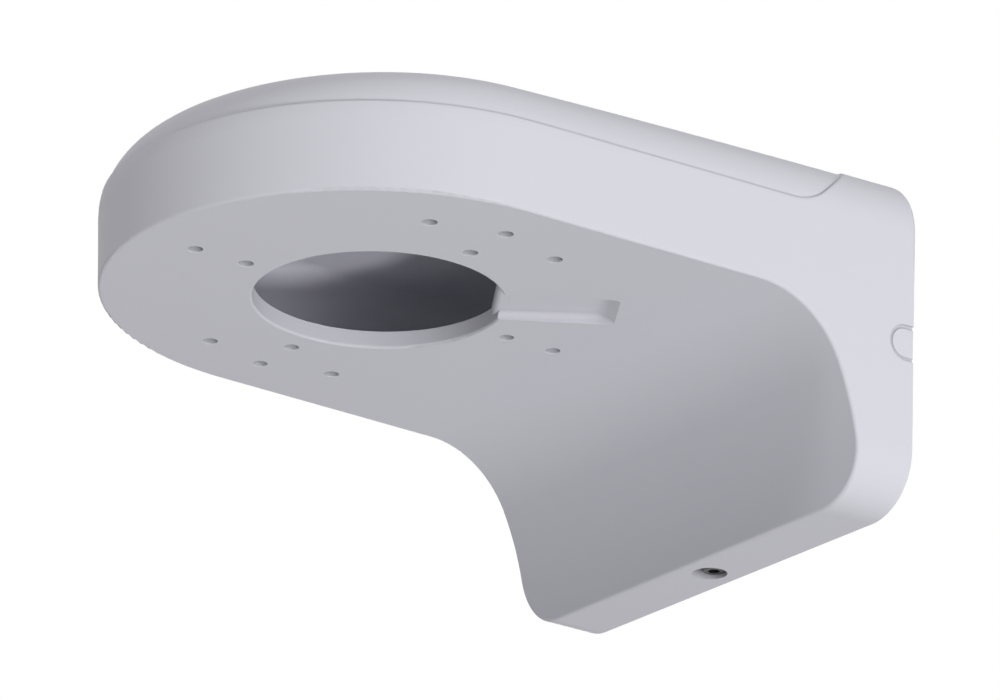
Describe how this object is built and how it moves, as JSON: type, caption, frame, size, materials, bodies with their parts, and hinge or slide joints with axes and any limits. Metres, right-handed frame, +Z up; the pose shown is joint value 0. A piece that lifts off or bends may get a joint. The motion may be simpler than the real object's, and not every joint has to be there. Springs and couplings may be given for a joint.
{
  "type": "camera wall bracket",
  "caption": "Cast wall bracket for a dome camera: hollow round-nosed head with a cable hole and tapped holes below, a drop at the wall, a hook-on wall plate and a lock screw.",
  "frame": {"origin": "on the wall, at the centre of the four wall screws", "axes": "+Y into the wall, +Z up, nose of the bracket towards -Y"},
  "size_m": [0.1282, 0.1609, 0.0791],
  "materials": {
    "housing_paint": "matt off-white powder coat with a fine grain",
    "plate_steel": "zinc plated sheet, satin",
    "screw_steel": "stainless, satin"
  },
  "bodies": {
    "root": {"bracket_housing": "housing_paint", "wall_plate": "plate_steel", "lock_screw": "screw_steel"}
  },
  "joints": []
}
